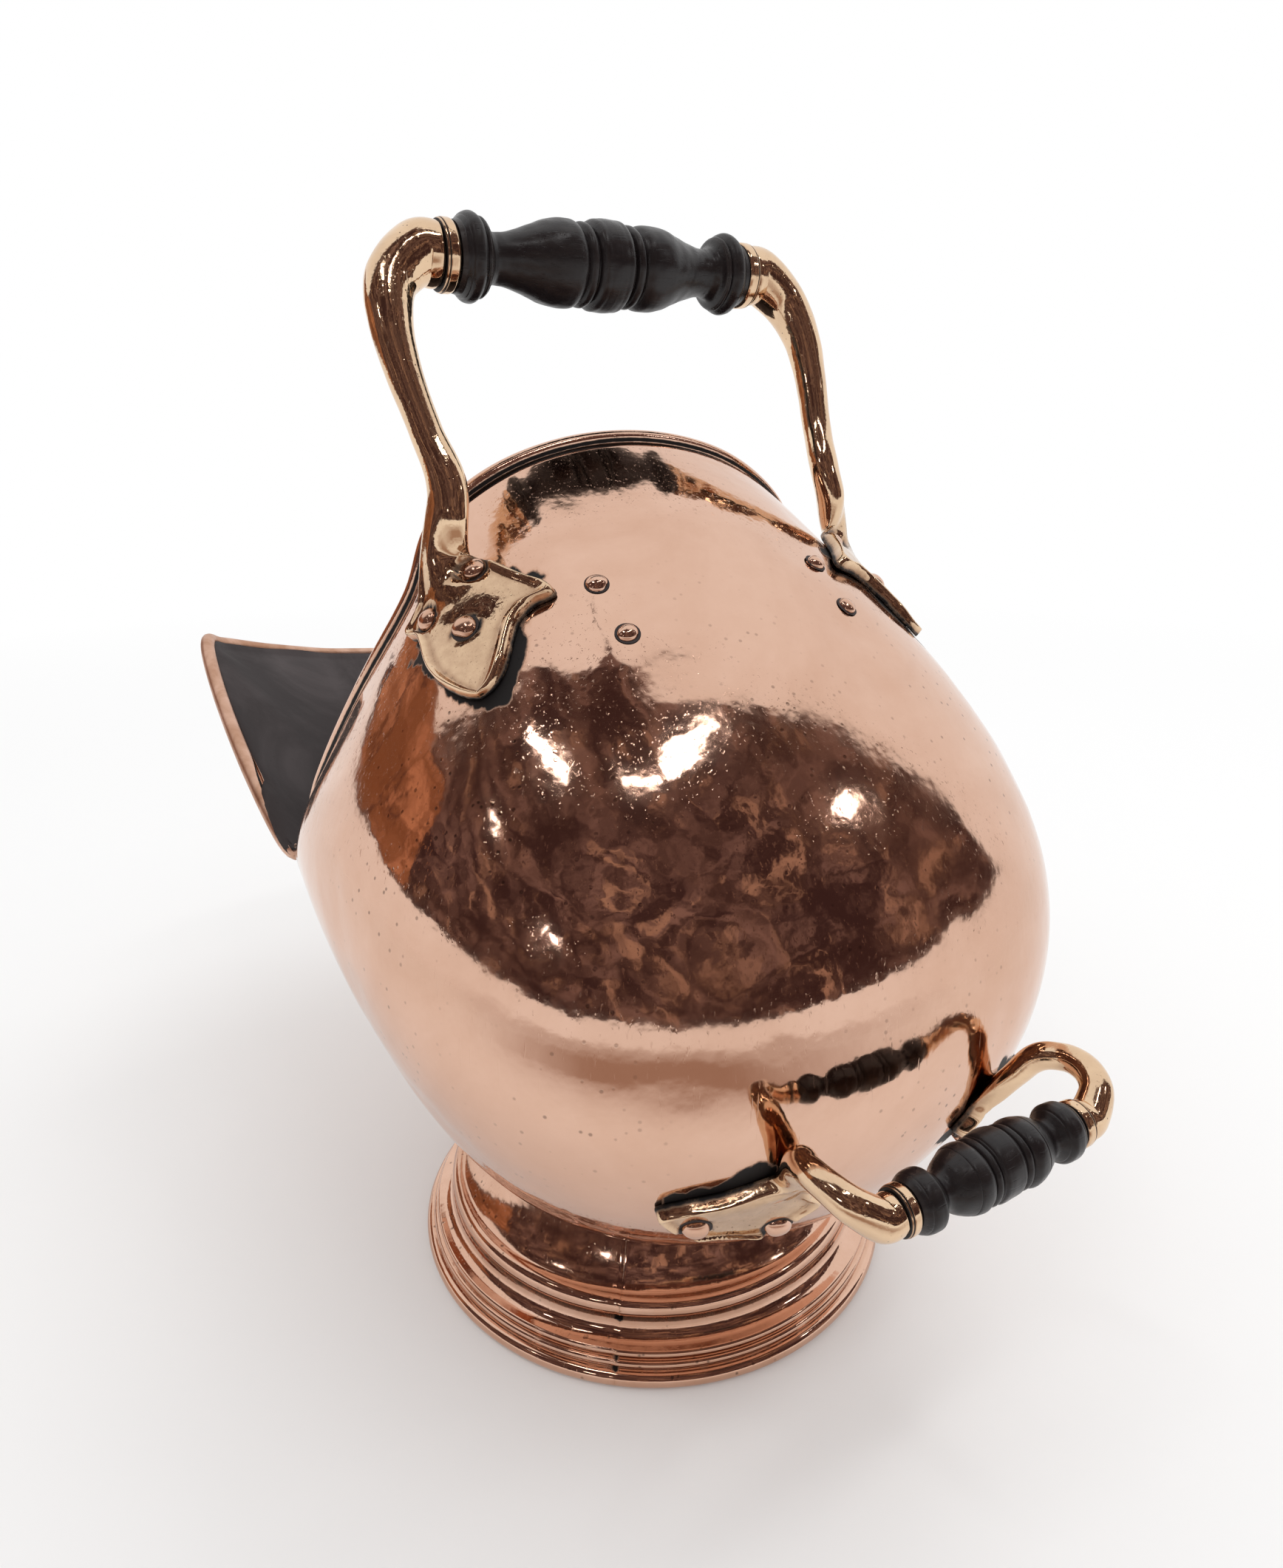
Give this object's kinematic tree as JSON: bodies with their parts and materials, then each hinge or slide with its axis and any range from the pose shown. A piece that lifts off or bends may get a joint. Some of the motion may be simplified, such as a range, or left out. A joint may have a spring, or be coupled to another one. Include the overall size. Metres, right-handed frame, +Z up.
{
  "type": "coal scuttle",
  "caption": "Helmet-shaped copper coal scuttle on a moulded foot, with a riveted brass carrying handle, a tipping handle at the back and turned wood grips.",
  "frame": {"origin": "centre of the foot, on the surface it rests on", "axes": "+Z up, +X towards the pouring lip, +Y to the scuttle's left"},
  "size_m": [0.4737, 0.2656, 0.4047],
  "materials": {
    "copper_body": "polished copper, lightly hammered",
    "copper_rim": "polished copper",
    "copper_foot": "polished copper",
    "copper_fittings": "worn copper",
    "brass_castings": "polished",
    "brass_ferrules": "polished",
    "ebonised_wood": "ebonised, semi-gloss",
    "iron": "plain"
  },
  "bodies": {
    "scuttle": {"body_shell": "copper_body", "rim_bead": "copper_rim", "rim_wire": "iron", "foot_base": "copper_foot", "foot_wire": "iron", "braze_ring": "copper_fittings", "top_arm_left": "brass_castings", "top_arm_right": "brass_castings", "top_ferrule_left": "brass_ferrules", "top_ferrule_right": "brass_ferrules", "top_tie_rod": "iron", "rear_arm_left": "brass_castings", "rear_arm_right": "brass_castings", "rear_ferrule_left": "brass_ferrules", "rear_ferrule_right": "brass_ferrules", "rear_tie_rod": "iron", "top_rivets_left": "copper_fittings", "top_rivets_right": "copper_fittings", "rear_rivets_left": "copper_fittings", "rear_rivets_right": "copper_fittings", "stay_rivets_left": "copper_fittings", "stay_rivets_right": "copper_fittings", "top_roves_left": "copper_fittings", "top_roves_right": "copper_fittings", "rear_roves_left": "copper_fittings", "rear_roves_right": "copper_fittings", "stay_strap_left": "iron", "stay_strap_right": "iron"},
    "top_grip": {"top_grip": "ebonised_wood"},
    "rear_grip": {"rear_grip": "ebonised_wood"}
  },
  "joints": [
    {"name": "top_grip_spin", "type": "hinge", "parent": "scuttle", "child": "top_grip", "pos_m": [0.036, 0, 0.389], "axis": [0, 1, 0], "continuous": true},
    {"name": "rear_grip_spin", "type": "hinge", "parent": "scuttle", "child": "rear_grip", "pos_m": [-0.17898, 0, 0.146], "axis": [0, 1, 0], "continuous": true}
  ]
}
